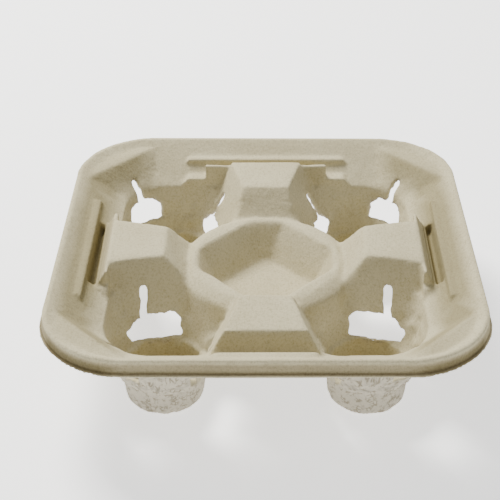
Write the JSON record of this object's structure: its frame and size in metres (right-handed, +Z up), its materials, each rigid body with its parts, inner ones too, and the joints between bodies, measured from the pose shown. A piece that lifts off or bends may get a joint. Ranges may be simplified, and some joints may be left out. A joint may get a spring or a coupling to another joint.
{
  "type": "moulded pulp cup carrier",
  "caption": "Square moulded pulp cup carrier with tapered cup wells, hollow posts, slit windows, a round middle dish and a folded-down rim.",
  "frame": {"origin": "middle of the tray, on the plane that the four feet stand on", "axes": "+Z up; +Y to the back, -Y to the front; +X to the right as seen from the front"},
  "size_m": [0.212, 0.212, 0.0615],
  "materials": {
    "pulp": "matte recycled paper pulp, warm grey, with coarse fibres and a screen mark on the underside"
  },
  "bodies": {
    "root": {"cup_carrier": "pulp"}
  },
  "joints": []
}
